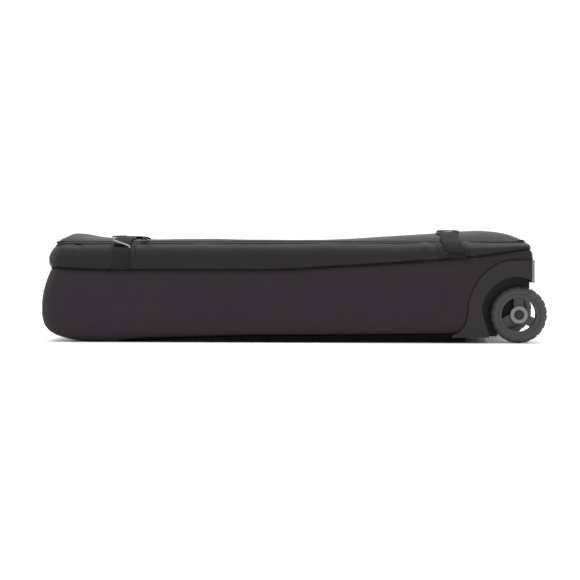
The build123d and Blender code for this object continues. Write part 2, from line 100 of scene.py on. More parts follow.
# ---- the bag's outer form (metres) ----------------------------------------------------------
ZIP_Z = 0.214
ZIP_HALF_Y = 0.150
LID_X0, LID_X1 = -0.515, 0.488
SEAM = [(-0.60, .162), (-0.50, .158), (-0.40, .1535), (-0.07, .1535), (0.056, .159),
        (0.226, .1696), (0.396, .184), (0.50, .2005), (0.60, .216)]
# share of the way up from the base to the seam: head end, half width, wheel end
LOWER = [(0, -.456, .1500, .5045), (.015, -.470, .1590, .5045), (.05, -.494, .1685, .5045),
         (.10, -.5155, .1752, .5045), (.16, -.5290, .1785, .5045), (.25, -.5390, .1797, .5045),
         (.39, -.5438, .1800, .5045), (.50, -.5440, .1800, .5045), (.65, -.5412, .1799, .5050),
         (.80, -.5345, .1796, .5050), (.93, -.5262, .1788, .5030), (1.0, -.5215, .1776, .4975)]
# share of the way up from the seam to the zip
UPPER = [(0, -.5215, .1776, .4975), (.08, -.5248, .1790, .4990), (.25, -.5268, .1797, .4990),
         (.45, -.5270, .1786, .4985), (.62, -.5250, .1758, .4975), (.8, -.5214, .1695, .4955),
         (.92, -.5176, .1600, .4920), (1.0, LID_X0, ZIP_HALF_Y, LID_X1)]
CREST = [(-.515, .2095), (-.5125, .2165), (-.508, .2245), (-.501, .2312), (-.492, .2350),
         (-.480, .2346), (-.465, .2318), (-.45, .2290), (-.43, .2264), (-.40, .2242),
         (-.37, .2228), (-.34, .2217), (-.2, .2208), (-.06, .2186), (.05, .2184),
         (.14, .2228), (.188, .2262), (.224, .2280), (.26, .2300), (.296, .2325),
         (.3315, .2362), (.367, .2386), (.40, .2400), (.425, .2388), (.443, .2358),
         (.460, .2314), (.473, .2254), (.4825, .2186), (.488, .2135)]
TRAY_TOP = [(-.60, 0), (-.38, .0008), (-.24, .008), (-.114, .0135), (.204, .017),
            (.331, .0184), (.352, .0174), (.368, .013), (.42, .012), (.6, .012)]
HEAD_R, WHEEL_R_PLAN = .027, .022
ZIP_R = .030
SIDE_N, CORNER_N, END_N = 220, 16, 56


def seam_z(x):
    return curve(SEAM, 1, x)


def zip_z(x):
    head = smooth(x, -.490, -.515)
    wheel = smooth(x, .464, .488)
    return ZIP_Z - 0.005 * head - 0.0006 * wheel


def crown(height, across):
    """Rise of the lid above its edge; across runs from 0 on the middle to 1 at the edge."""
    height = np.maximum(height, 0.0004)
    rise = 0.032 * (1 - np.clip(across, 0, 1) ** 2)
    return height * (1 - np.exp(-rise / height)) / (1 - np.exp(-0.032 / height))


def lid_z(x, y):
    edge = zip_z(x)
    return edge + crown(curve(CREST, 1, x) - edge, np.abs(y) / ZIP_HALF_Y)


def rounded_loop(x0, x1, half, r0, r1):
    """Plan loop from the wheel end's near corner along the near side and right round."""
    turn = np.linspace(0, math.pi / 2, CORNER_N, endpoint=False)
    near = np.linspace(x1 - r1, x0 + r0, SIDE_N, endpoint=False)
    far_side = np.linspace(x0 + r0, x1 - r1, SIDE_N, endpoint=False)
    head = np.linspace(-half + r0, half - r0, END_N, endpoint=False)
    wheel = np.linspace(half - r1, -half + r1, END_N, endpoint=False)
    sin, cos = np.sin(turn), np.cos(turn)
    xs = [near, x0 + r0 - r0 * sin, np.full(END_N, x0), x0 + r0 - r0 * cos,
          far_side, x1 - r1 + r1 * sin, np.full(END_N, x1), x1 - r1 + r1 * cos]
    ys = [np.full(SIDE_N, -half), -half + r0 - r0 * cos, head, half - r0 + r0 * sin,
          np.full(SIDE_N, half), half - r1 + r1 * cos, wheel, -half + r1 - r1 * sin]
    return np.concatenate(xs), np.concatenate(ys)


def tray_inset(x, z):
    """How far the fabric steps in behind the skid tray's lip."""
    top = curve(TRAY_TOP, 1, x)
    there = smooth(x, -.40, -.28) * smooth(x, .375, .360)
    return 0.0046 * there * smooth(z, top + 0.003, top - 0.001)


def lower_ring(v):
    row = [curve(LOWER, k, v) for k in (1, 2, 3)]
    x, y = rounded_loop(row[0], row[2], row[1], HEAD_R, WHEEL_R_PLAN)
    base = 0.0048 * smooth(x, -.40, -.30) + 0.008 * smooth(x, .34, .37)
    z = base + (seam_z(x) - base) * v
    return np.stack([x, y * (1 - tray_inset(x, z) / 0.18), z], 1)


def upper_ring(u):
    row = [curve(UPPER, k, u) for k in (1, 2, 3)]
    r0 = HEAD_R + (ZIP_R - HEAD_R) * smooth(u, 0.3, 1.0)
    r1 = WHEEL_R_PLAN + (ZIP_R - WHEEL_R_PLAN) * smooth(u, 0.3, 1.0)
    x, y = rounded_loop(row[0], row[2], row[1], r0, r1)
    low = seam_z(x)
    return np.stack([x, y, low + (zip_z(x) - low) * u], 1)


def lid_half(x):
    """Half width of the lid's outline at a place along it."""
    inset = 0.0
    for reach in (x - LID_X0, LID_X1 - x):
        short = ZIP_R - np.clip(reach, 0, ZIP_R)
        inset = inset + ZIP_R - np.sqrt(ZIP_R ** 2 - short ** 2)
    return ZIP_HALF_Y - inset


def lid_stations():
    """Places along the lid, closer together round its corners."""
    turn = np.linspace(0, math.pi / 2, 14, endpoint=False)
    head = LID_X0 + ZIP_R * (1 - np.cos(turn))
    middle = np.linspace(LID_X0 + ZIP_R, LID_X1 - ZIP_R, 230)
    return np.concatenate([head, middle, (LID_X1 - ZIP_R * (1 - np.cos(turn)))[::-1]])


def lid_grid():
    """Rows across the lid from the far edge to the near edge, columns along it."""
    x = lid_stations()
    share = np.sin(np.linspace(1, -1, 61) * math.pi / 2)
    y = share[:, None] * lid_half(x)[None, :]
    xs = np.repeat(x[None, :], len(share), 0)
    return np.stack([xs, y, lid_z(xs, y)], 2)


def shell_point(x, u, side):
    """Point on the upper shell's side, u running from 0 at the seam to 1 at the zip."""
    x = np.asarray(x, float)
    low = seam_z(x)
    half = np.full(x.shape, float(curve(UPPER, 2, u)))
    return np.stack([x, side * half, low + (zip_z(x) - low) * u], -1)


# ---- mesh helpers ---------------------------------------------------------------------------
def add_object(name, verts, faces, body, material, replaces=(), shade=True):
    mesh = bpy.data.meshes.new(name)
    moved = np.asarray(verts, float) + (DATUM_X, 0, 0)
    mesh.from_pydata(moved.tolist(), [], [tuple(int(k) for k in f) for f in faces])
    build = bmesh.new()
    build.from_mesh(mesh)
    if build.calc_volume(signed=True) < 0:
        bmesh.ops.reverse_faces(build, faces=build.faces)
    build.to_mesh(mesh)
    build.free()
    if shade:
        mesh.polygons.foreach_set("use_smooth", [True] * len(mesh.polygons))
    obj = bpy.data.objects.new(name, mesh)
    bpy.context.scene.collection.objects.link(obj)
    mesh.materials.append(material)
    if replaces:
        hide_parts(*replaces)
    if body:
        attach(obj, body)
    return obj


def grid_faces(rows, cols, closed):
    faces = []
    last = cols if closed else cols - 1
    for i in range(rows - 1):
        for j in range(last):
            k = (j + 1) % cols
            faces.append((i * cols + j, i * cols + k, (i + 1) * cols + k, (i + 1) * cols + j))
    return faces


def grid_normals(grid, closed):
    """Outward normals of a (rows, cols, 3) grid whose columns run round the bag."""
    if closed:
        along = np.roll(grid, -1, 1) - np.roll(grid, 1, 1)
    else:
        along = np.gradient(grid, axis=1)
    up = np.gradient(grid, axis=0)
    normal = np.cross(up, along)
    return normal / (np.linalg.norm(normal, axis=2, keepdims=True) + 1e-12)


def shell_sheet(name, grid, closed, thickness, keep, body, material, replaces=()):
    """Closed sheet of cloth: the grid is its outer face, and the inner face lies inside it."""
    rows, cols = grid.shape[:2]
    normal = grid_normals(grid, closed)
    outer = grid.reshape(-1, 3)
    inner = (grid - normal * thickness).reshape(-1, 3)
    faces = grid_faces(rows, cols, closed)
    if keep is not None:
        centre = outer[np.array(faces)].mean(1)
        faces = [f for f, k in zip(faces, keep(centre)) if k]
    count = len(outer)
    used = {}
    for f in faces:
        for a, b in zip(f, f[1:] + f[:1]):
            used[(a, b)] = used.get((a, b), 0) + 1
    rim = [(a, b) for (a, b) in used if (b, a) not in used]
    everything = list(faces)
    everything += [tuple(count + k for k in reversed(f)) for f in faces]
    everything += [(b, a, count + a, count + b) for a, b in rim]
    verts = np.concatenate([outer, inner])
    index = sorted({k for f in everything for k in f})
    remap = {k: n for n, k in enumerate(index)}
    everything = [tuple(remap[k] for k in f) for f in everything]
    return add_object(name, verts[index], everything, body, material, replaces)


# ---- creases: gentle folds in the cloth, the same each run ----------------------------------
def fold_noise(p, size, seed):
    q = Vector((p[0] / size[0] + seed, p[1] / size[1] - seed, p[2] / size[2] + 2 * seed))
    return noise.noise(q)


def creased(grid, closed, layers, mask=None):
    """Moves a grid along its normals by layers of (size, height, seed) noise."""
    normal = grid_normals(grid, closed)
    out = grid.copy()
    rows, cols = grid.shape[:2]
    for i in range(rows):
        for j in range(cols):
            p = grid[i, j]
            move = 0.0
            for size, height, seed in layers:
                move += height * fold_noise(p, size, seed)
            if mask is not None:
                move *= mask[i, j]
            out[i, j] = p + normal[i, j] * move
    return out


# ---- materials ------------------------------------------------------------------------------
class Shader:
    """A small builder for a Principled material with texture-driven colour and bump."""

    def __init__(self, name, colour, rough, metallic=0.0, sheen=0.0, specular=0.5):
        self.material = bpy.data.materials.new(name)
        self.material.use_nodes = True
        self.nodes = self.material.node_tree.nodes
        self.links = self.material.node_tree.links
        self.bsdf = self.nodes["Principled BSDF"]
        self.bsdf.inputs["Base Color"].default_value = (*colour, 1)
        self.bsdf.inputs["Roughness"].default_value = rough
        self.bsdf.inputs["Metallic"].default_value = metallic
        self.bsdf.inputs["Sheen Weight"].default_value = sheen
        self.bsdf.inputs["Specular IOR Level"].default_value = specular
        self.colour = colour
        coords = self.nodes.new("ShaderNodeTexCoord")
        self.place = coords.outputs["Object"]
        self.bump_from = None

    def math(self, operation, a, b=None, c=None):
        node = self.nodes.new("ShaderNodeMath")
        node.operation = operation
        for socket, value in zip(node.inputs, (a, b, c)):
            if value is None:
                continue
            if isinstance(value, (int, float)):
                socket.default_value = value
            else:
                self.links.new(value, socket)
        return node.outputs[0]

    def axes(self):
        split = self.nodes.new("ShaderNodeSeparateXYZ")
        self.links.new(self.place, split.inputs[0])
        return split.outputs

    def noise(self, scale, detail=3.0, stretch=None, rough=0.5):
        node = self.nodes.new("ShaderNodeTexNoise")
        node.inputs["Scale"].default_value = scale
        node.inputs["Detail"].default_value = detail
        node.inputs["Roughness"].default_value = rough
        place = self.place
        if stretch:
            mapping = self.nodes.new("ShaderNodeMapping")
            mapping.inputs["Scale"].default_value = stretch
            self.links.new(place, mapping.inputs["Vector"])
            place = mapping.outputs["Vector"]
        self.links.new(place, node.inputs["Vector"])
        return node.outputs["Fac"]

    def line(self, value, pitch, width):
        """1 on thin lines every pitch along a coordinate, 0 between."""
        turns = self.math("MULTIPLY", value, 1 / pitch)
        centred = self.math("ABSOLUTE", self.math("SUBTRACT", self.math("FRACT", turns), 0.5))
        ramp = self.nodes.new("ShaderNodeMapRange")
        self.links.new(centred, ramp.inputs["Value"])
        ramp.inputs["From Min"].default_value = 0.5 - width / pitch
        ramp.inputs["From Max"].default_value = 0.5 - 0.3 * width / pitch
        return ramp.outputs["Result"]

    def wave(self, value, pitch):
        return self.math("SINE", self.math("MULTIPLY", value, 2 * math.pi / pitch))

    def shade(self, factor, low, high):
        """Base colour from low to high times the colour, by a factor."""
        mix = self.nodes.new("ShaderNodeMix")
        mix.data_type = "RGBA"
        self.links.new(factor, mix.inputs["Factor"])
        mix.inputs["A"].default_value = (*[c * low for c in self.colour], 1)
        mix.inputs["B"].default_value = (*[c * high for c in self.colour], 1)
        self.links.new(mix.outputs["Result"], self.bsdf.inputs["Base Color"])

    def roughness(self, factor, low, high):
        ramp = self.nodes.new("ShaderNodeMapRange")
        self.links.new(factor, ramp.inputs["Value"])
        ramp.inputs["To Min"].default_value = low
        ramp.inputs["To Max"].default_value = high
        self.links.new(ramp.outputs["Result"], self.bsdf.inputs["Roughness"])

    def bump(self, height, distance, strength=1.0):
        node = self.nodes.new("ShaderNodeBump")
        node.inputs["Distance"].default_value = distance
        node.inputs["Strength"].default_value = strength
        self.links.new(height, node.inputs["Height"])
        if self.bump_from is not None:
            self.links.new(self.bump_from, node.inputs["Normal"])
        self.bump_from = node.outputs["Normal"]
        self.links.new(self.bump_from, self.bsdf.inputs["Normal"])


RIPSTOP_PITCH = 0.0066
RIPSTOP_LINE = 0.0013
WEAVE_PITCH = 0.0012


def ripstop():
    cloth = Shader("ripstop", (0.0132, 0.0098, 0.0122), 0.6, specular=0.15)
    x, y, z = cloth.axes()[:3]
    run = cloth.math("ADD", x, y)
    across = cloth.line(z, RIPSTOP_PITCH, RIPSTOP_LINE)
    along = cloth.line(run, RIPSTOP_PITCH, RIPSTOP_LINE)
    grid = cloth.math("MAXIMUM", across, cloth.math("MULTIPLY", along, 0.4))
    cloth.shade(grid, 0.92, 1.38)
    weave = cloth.math("MULTIPLY", cloth.wave(z, WEAVE_PITCH), cloth.wave(run, WEAVE_PITCH))
    cloth.bump(grid, 0.00035)
    cloth.bump(weave, 0.00006)
    cloth.bump(cloth.noise(14, 3, (1, 1, 1.6)), 0.0035, 0.5)
    cloth.roughness(cloth.noise(9, 4), 0.5, 0.72)
    return cloth.material


def coated():
    cloth = Shader("coated_fabric", (0.0090, 0.0074, 0.0088), 0.46, specular=0.16)
    x, y, z = cloth.axes()[:3]
    weave = cloth.math("MULTIPLY", cloth.wave(x, WEAVE_PITCH),
                       cloth.wave(cloth.math("ADD", y, z), WEAVE_PITCH))
    cloth.bump(weave, 0.00005)
    cloth.bump(cloth.noise(7, 4, (0.5, 1.4, 1.4)), 0.005, 0.5)
    cloth.bump(cloth.noise(38, 3), 0.0008, 0.35)
    cloth.shade(cloth.noise(5, 3), 0.85, 1.2)
    cloth.roughness(cloth.noise(12, 4), 0.36, 0.56)
    return cloth.material


def webbing():
    cloth = Shader("webbing", (0.0068, 0.0064, 0.0072), 0.66, specular=0.16)
    x, y, z = cloth.axes()[:3]
    run = cloth.math("ADD", y, z)
    rib = cloth.math("MULTIPLY", cloth.wave(run, 0.0022), cloth.wave(x, 0.0026))
    cloth.bump(rib, 0.00035)
    cloth.shade(cloth.noise(60, 2), 0.8, 1.3)
    return cloth.material


def patch_cloth():
    cloth = Shader("patch_fabric", (0.0082, 0.0068, 0.0080), 0.55, specular=0.18)
    x, y, z = cloth.axes()[:3]
    weave = cloth.math("MULTIPLY", cloth.wave(x, 0.0014),
                       cloth.wave(cloth.math("ADD", y, z), 0.0014))
    cloth.bump(weave, 0.0001)
    cloth.bump(cloth.noise(30, 3), 0.001, 0.5)
    cloth.shade(cloth.noise(12, 3), 0.85, 1.2)
    return cloth.material


def thread():
    twist = Shader("thread", (0.022, 0.021, 0.023), 0.6, specular=0.2)
    x, y, z = twist.axes()[:3]
    twist.bump(twist.wave(twist.math("ADD", twist.math("ADD", x, y), z), 0.0008), 0.0001)
    return twist.material


def plastic(name, colour, rough, grain, specular=0.35):
    body = Shader(name, colour, rough, specular=specular)
    body.bump(body.noise(grain, 4), 0.00012, 0.8)
    body.shade(body.noise(11, 4), 0.88, 1.14)
    body.roughness(body.noise(23, 3), rough - 0.07, rough + 0.1)
    return body.material


def metal(name, colour, rough, specular=0.5):
    body = Shader(name, colour, rough, metallic=1.0, specular=specular)
    body.bump(body.noise(900, 2, (1, 6, 1)), 0.00003, 0.7)
    body.shade(body.noise(40, 3), 0.85, 1.08)
    body.roughness(body.noise(60, 3), rough - 0.06, rough + 0.12)
    return body.material


def rubber():
    body = Shader("tyre_rubber", (0.036, 0.033, 0.036), 0.66, specular=0.3)
    body.bump(body.noise(420, 4), 0.00016, 0.8)
    body.bump(body.noise(25, 3), 0.0008, 0.3)
    body.shade(body.noise(16, 4), 0.78, 1.22)
    body.roughness(body.noise(30, 3), 0.55, 0.78)
    return body.material


RIPSTOP, COATED, WEBBING, PATCH = ripstop(), coated(), webbing(), patch_cloth()
THREAD = thread()
HOUSING = plastic("housing_plastic", (0.0105, 0.0088, 0.0098), 0.40, 700, 0.2)
BUMPER = plastic("bumper_plastic", (0.150, 0.148, 0.153), 0.4, 500)
SKID = plastic("skid_plastic", (0.0010, 0.0010, 0.0011), 0.30, 800, 0.05)
WHEEL_PLASTIC = plastic("wheel_plastic", (0.026, 0.024, 0.027), 0.4, 700)
BLACK_PLASTIC = plastic("glide_plastic", (0.006, 0.006, 0.0065), 0.36, 900)
BOARD = plastic("board_plastic", (0.02, 0.02, 0.02), 0.6, 300)
COIL = plastic("zip_coil", (0.0100, 0.0086, 0.0098), 0.46, 900, 0.16)
# black of the seam piping; the same material also paints the shadow cords round the fenders
PIPING_AND_SHADOW_CORD = plastic("piping", (0.0022, 0.0020, 0.0022), 0.55, 900, 0.12)
RUBBER = rubber()
HUB_METAL = metal("hub_metal", (0.155, 0.150, 0.158), 0.40)
STEEL = metal("steel", (0.034, 0.033, 0.035), 0.38)
ALUMINIUM = metal("hook_aluminium", (0.27, 0.245, 0.26), 0.42)
RAIL = metal("rail_aluminium", (0.5, 0.5, 0.52), 0.4)
SLIDER = metal("slider_metal", (0.05, 0.05, 0.055), 0.35)
BY_SLOT = {"ripstop": RIPSTOP, "coated_fabric": COATED, "webbing": WEBBING,
           "patch_fabric": PATCH, "housing_plastic": HOUSING, "bumper_plastic": BUMPER,
           "skid_plastic": SKID, "wheel_plastic": WHEEL_PLASTIC, "zip_coil": COIL,
           "glide_plastic": BLACK_PLASTIC, "board_plastic": BOARD, "piping": PIPING_AND_SHADOW_CORD,
           "tyre_rubber": RUBBER, "hub_metal": HUB_METAL, "steel": STEEL,
           "hook_aluminium": ALUMINIUM, "rail_aluminium": RAIL, "slider_metal": SLIDER}
SLOT_OF = {part["node"]: part["material_slot"] for part in frame["record"]["subparts"]}
EDGE = {"housing_plastic": 0.0018, "skid_plastic": 0.0010, "bumper_plastic": 0.0012,
        "wheel_plastic": 0.0012}


def dress_cad_nodes():
    """Better materials and softened edges on the CAD pieces that stay visible."""
    for name, obj in NODES.items():
        slot = SLOT_OF[name]
        obj.data.materials.clear()
        obj.data.materials.append(BY_SLOT[slot])
        bevel = obj.modifiers.new("edges", "BEVEL")
        bevel.width = EDGE.get(slot, 0.0005)
        bevel.segments = 3 if slot in EDGE else 2
        bevel.limit_method = "ANGLE"
        bevel.angle_limit = math.radians(35)


dress_cad_nodes()


# ---- outlines round the wheel housings ------------------------------------------------------
def rounded_path(points, radii, steps=9):
    """Open polyline with each inner corner rounded by its radius."""
    points = [np.array(p, float) for p in points]
    out = [points[0]]
    for before, corner, after, radius in zip(points, points[1:], points[2:], radii):
        a, b = before - corner, after - corner
        a, b = a / np.linalg.norm(a), b / np.linalg.norm(b)
        half = math.acos(np.clip(a @ b, -1, 1)) / 2
        centre = corner + (a + b) / np.linalg.norm(a + b) * radius / math.sin(half)
        start = corner + a * radius / math.tan(half) - centre
        end = corner + b * radius / math.tan(half) - centre
        for share in np.linspace(0, 1, steps):
            spoke = start * (1 - share) + end * share
            out.append(centre + spoke / np.linalg.norm(spoke) * radius)
    return np.array(out + [points[-1]]) * MM


FENDER = [((334, 12), 0), ((334, 17.5), 2), ((346, 22), 20), ((356, 31.5), 25),
          ((362.5, 45), 35), ((366, 62), 60), ((367.3, 80), 80), ((371, 98), 80),
          ((379, 118), 80), ((391.5, 137.5), 80), ((407.5, 153.5), 80), ((427, 166.8), 80),
          ((445, 173.5), 60), ((463, 175.5), 60), ((500, 175.5), 0)]
FENDER_LINE = rounded_path([p for p, _ in FENDER], [r for _, r in FENDER[1:-1]], 5)
AXLE = np.array([0.474, 0.060])


def inside_polygon(x, z, corners):
    inside = np.zeros(len(x), bool)
    for (x0, z0), (x1, z1) in zip(corners, np.roll(corners, -1, 0)):
        crosses = (z0 > z) != (z1 > z)
        at = x0 + (z - z0) * (x1 - x0) / (z1 - z0 + 1e-15)
        inside ^= crosses & (x < at)
    return inside


TUCK = 0.004               # the cloth runs this far in behind the fender
FENDER_TUCK = FENDER_LINE + (AXLE - FENDER_LINE) * (
    TUCK / np.linalg.norm(AXLE - FENDER_LINE, axis=1, keepdims=True))
FENDER_ZONE = np.concatenate([FENDER_TUCK, [(0.70, FENDER_TUCK[-1, 1]), (0.70, -0.02),
                                            (FENDER_TUCK[0, 0], -0.02)]])


def wall_kept(centre):
    """Faces of the wall that aren't behind a wheel housing or the bumper."""
    x, y, z = centre.T
    housing = inside_polygon(x, z, FENDER_ZONE) & (np.abs(y) > 0.11)
    end = (x > 0.36) & (z < 0.172) & ((np.abs(y) < 0.13) | (x > 0.4975))
    return ~(housing | end)


# ---- folds: (x, z) to (x, z) on a side, half width and height -------------------------------
NEAR_FOLDS = [((.356, .226), (.386, .171), .0050, .0026),
              ((.272, .214), (.302, .172), .0070, .0022),
              ((.305, .222), (.318, .178), .0035, -.0014), ((.403, .187), (.421, .158), .0040, .0016),
              ((-.396, .162), (-.386, .210), .0040, -.0014), ((-.335, .205), (-.345, .162), .004, .0012),
              ((-.486, .234), (-.458, .206), .0050, -.0022),
              ((-.458, .206), (-.452, .180), .005, -.0022),
              ((-.452, .180), (-.458, .163), .005, -.0018), ((.06, .216), (.12, .170), .012, .0012),
              ((-.21, .214), (-.16, .160), .015, .0011), ((.17, .150), (.20, .060), .020, .0010),
              ((-.30, .140), (-.27, .050), .022, .0012), ((-.10, .146), (-.08, .060), .018, .0010),
              ((.30, .160), (.335, .090), .012, .0013), ((-.47, .150), (-.49, .070), .014, .0014)]
FAR_FOLDS = [((.36, .215), (.33, .172), .006, .0022), ((.25, .214), (.28, .168), .009, .0016),
             ((-.39, .205), (-.40, .162), .005, -.0014), ((-.14, .212), (-.19, .158), .014, .0014),
             ((.02, .212), (.06, .166), .012, .0013), ((-.47, .150), (-.49, .070), .014, .0014),
             ((.12, .150), (.10, .060), .022, .0012), ((-.24, .140), (-.22, .060), .018, .0012)]


def fold_height(x, y, z):
    """How far the listed folds lift the cloth at each point."""
    lift = np.zeros_like(x)
    for side, folds in ((-1, NEAR_FOLDS), (1, FAR_FOLDS)):
        on_side = smooth(side * y, 0.10, 0.15)
        for start, end, half, height in folds:
            (x0, z0), (x1, z1) = start, end
            run = np.array([x1 - x0, z1 - z0])
            length = np.linalg.norm(run)
            along = ((x - x0) * run[0] + (z - z0) * run[1]) / length ** 2
            away = ((x - x0) * run[1] - (z - z0) * run[0]) / length
            ends = smooth(along, -0.15, 0.25) * smooth(along, 1.15, 0.75)
            lift += on_side * height * ends * np.exp(-(away / half) ** 2)
    return lift


def folded(grid, closed):
    lift = fold_height(grid[..., 0], grid[..., 1], grid[..., 2])
    return grid + grid_normals(grid, closed) * lift[..., None]


# ---- lower panels: ripstop wall from the base up to the seam --------------------------------
CLOTH_T = 0.0035
SEAM_DIP = 0.0016
LOWER_V = np.concatenate([np.linspace(0, 0.16, 14, endpoint=False), np.linspace(0.16, 1.0, 50)])
UPPER_U = np.linspace(0, 1, 30)

lower = np.stack([lower_ring(v) for v in LOWER_V])
lower -= grid_normals(lower, True) * (SEAM_DIP * np.exp(-(1 - LOWER_V) / 0.03))[:, None, None]
lower_mask = np.repeat((smooth(LOWER_V, 0.02, 0.2) * smooth(LOWER_V, 1.0, 0.85))[:, None],
                       lower.shape[1], 1)
lower = creased(lower, True, [((.22, .22, .07), 0.0026, 1.7), ((.06, .06, .035), 0.0008, 5.1)],
                lower_mask)
lower = folded(lower, True)
wall = shell_sheet("lower_wall", lower, True, CLOTH_T, wall_kept, "tub", RIPSTOP,
                   ("near_side_panel", "far_side_panel", "head_end_panel"))

BASE_X0, BASE_X1 = -0.452, 0.374


def base_panel():
    """Flat ripstop base, narrowed to meet the rounded head end."""
    x = np.linspace(BASE_X0, BASE_X1, 60)
    half = 0.148 - 0.016 * smooth(x, -0.43, BASE_X0)
    y = np.linspace(1, -1, 20)[:, None] * half[None, :]
    xs = np.repeat(x[None, :], 20, 0)
    z = 0.0050 * smooth(xs, -.40, -.30) + 0.008 * smooth(xs, .34, .37) + 0.0002
    return np.stack([xs, y, z], 2)[:, ::-1]


base = shell_sheet("base_cloth", base_panel(), False, CLOTH_T, None, "tub", RIPSTOP,
                   ("base_panel",))


def ramp_panel():
    """Ripstop wall that slopes up between the wheels."""
    rows, cols = 30, 34
    path = [(0.366, 0.0125), (0.430, 0.0125), (0.5035, 0.1250), (0.5035, 0.1745)]
    length = np.cumsum([0] + [math.dist(a, b) for a, b in zip(path, path[1:])])
    s = np.linspace(0, length[-1], rows)
    x = np.interp(s, length, [p[0] for p in path])
    z = np.interp(s, length, [p[1] for p in path])
    across = np.linspace(-0.5, 0.5, cols)
    bulge = 0.003 * np.cos(math.pi * across)[None, :] * np.sin(math.pi * s / s[-1])[:, None]
    grid = np.zeros((rows, cols, 3))
    grid[..., 0] = x[:, None] - 0.0035 + 0.8 * bulge
    grid[..., 1] = across[None, :] * 0.2435
    grid[..., 2] = z[:, None] + 0.001 - 0.3 * bulge
    return grid


ramp = creased(ramp_panel(), False, [((.06, .06, .04), 0.0015, 9.2)])
ramp_obj = shell_sheet("wheel_end_wall", ramp, False, -CLOTH_T, None, "tub", RIPSTOP,
                       ("wheel_end_panel",))

# ---- upper shell from the seam to the zip ---------------------------------------------------
upper = np.stack([upper_ring(u) for u in UPPER_U])
SEAM_VALLEY = 0.0014
ZIP_VALLEY = 0.0005
VALLEY_REACH = 0.05
seam_dip = (SEAM_VALLEY * np.exp(-UPPER_U / VALLEY_REACH)
            + ZIP_VALLEY * np.exp(-(1 - UPPER_U) / VALLEY_REACH))
upper -= grid_normals(upper, True) * seam_dip[:, None, None]
upper_mask = np.repeat((smooth(UPPER_U, 0.0, 0.2) * smooth(UPPER_U, 1.0, 0.85))[:, None],
                       upper.shape[1], 1)
upper = creased(upper, True, [((.25, .2, .05), 0.0022, 3.3), ((.05, .05, .03), 0.0007, 7.7)],
                upper_mask)
upper = folded(upper, True)
shoulder = shell_sheet("upper_shell", upper, True, CLOTH_T, None, "tub", COATED,
                       ("near_shoulder", "far_shoulder", "head_shoulder", "wheel_shoulder"))

# ---- lid ------------------------------------------------------------------------------------
lid = lid_grid()
edge_share = np.minimum((lid_half(lid[..., 0]) - np.abs(lid[..., 1])) / 0.02,
                        np.minimum(lid[..., 0] - LID_X0, LID_X1 - lid[..., 0]) / 0.02)
lid_mask = smooth(edge_share, 0.0, 1.0)
lid = creased(lid, False, [((.30, .10, .2), 0.0024, 2.2), ((.07, .05, .06), 0.0009, 8.4)],
              lid_mask)
LID_EDGE_DIP = 0.0004
lid[..., 2] -= LID_EDGE_DIP * np.exp(-np.maximum(edge_share, 0) / 0.25)
lid_obj = shell_sheet("lid_cloth", lid, False, CLOTH_T, None, "lid", COATED,
                      ("lid_panel",))

# fabric hinge: a band of the shell's cloth from the lid over the far edge to the shoulder
HINGE_RISE = 0.0013


def hinge_band():
    x = np.linspace(LID_X0 + 0.034, LID_X1 - 0.034, 150)
    rows = [np.stack([x, np.full_like(x, y), lid_z(x, y) + HINGE_RISE], 1)
            for y in np.linspace(0.126, ZIP_HALF_Y, 9)]
    for u in np.linspace(0.985, 0.80, 8):
        point = shell_point(x, u, 1)
        rows.append(point + (0, HINGE_RISE * 0.7, HINGE_RISE * 0.7))
    return np.stack(rows)[::-1]


band = shell_sheet("hinge_cloth", hinge_band(), False, 0.0012, None, None,
                   COATED)
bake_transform(band)


# ---- tubes: piping, black cords painted as shadow, and links --------------------------------
def tube(name, path, radius, closed, body, material, replaces=(), sides=10, flat=1.0):
    path = np.asarray(path, float)
    count = len(path)
    if closed:
        tangent = np.roll(path, -1, 0) - np.roll(path, 1, 0)
    else:
        tangent = np.gradient(path, axis=0)
    tangent /= np.linalg.norm(tangent, axis=1, keepdims=True) + 1e-12
    up = np.tile([0.0, 0.0, 1.0], (count, 1))
    side = np.cross(tangent, up)
    side /= np.linalg.norm(side, axis=1, keepdims=True) + 1e-12
    up = np.cross(side, tangent)
    turn = 2 * math.pi * np.arange(sides) / sides
    ring = (np.cos(turn)[None, :, None] * side[:, None] * flat
            + np.sin(turn)[None, :, None] * up[:, None])
    verts = (path[:, None] + radius * ring).reshape(-1, 3)
    faces = grid_faces(count, sides, True)
    if closed:
        last = (count - 1) * sides
        faces += [(last + k, last + (k + 1) % sides, (k + 1) % sides, k) for k in range(sides)]
    else:
        faces.append(tuple(reversed(range(sides))))
        faces.append(tuple((count - 1) * sides + k for k in range(sides)))
    return add_object(name, verts, faces, body, material, replaces)


def outward(loop):
    """Unit directions out from a plan loop."""
    along = np.roll(loop, -1, 0) - np.roll(loop, 1, 0)
    out = np.stack([-along[:, 1], along[:, 0], np.zeros(len(loop))], 1)
    out /= np.linalg.norm(out, axis=1, keepdims=True) + 1e-12
    return out * np.sign((out[0] * loop[0]).sum())


seam_path = upper_ring(0.0)
tube("seam_bead", seam_path + outward(seam_path) * 0.0004, 0.0017, True, "tub", PIPING_AND_SHADOW_CORD,
     ("seam_piping",))
# black cords along the fender outlines: painted shadow standing in for the dark gap between the cloth
# and each wheel housing
for label, side in (("near", -1), ("far", 1)):
    line = np.stack([FENDER_LINE[:, 0], np.full(len(FENDER_LINE), side * 0.1800),
                     FENDER_LINE[:, 1]], 1)
    tube(f"fender_shadow_cord_{label}", line, 0.0014, False, "tub", PIPING_AND_SHADOW_CORD)


# ---- stitches -------------------------------------------------------------------------------
STITCH = 0.0030
STITCH_PITCH = 0.0044
STITCH_R = 0.00038


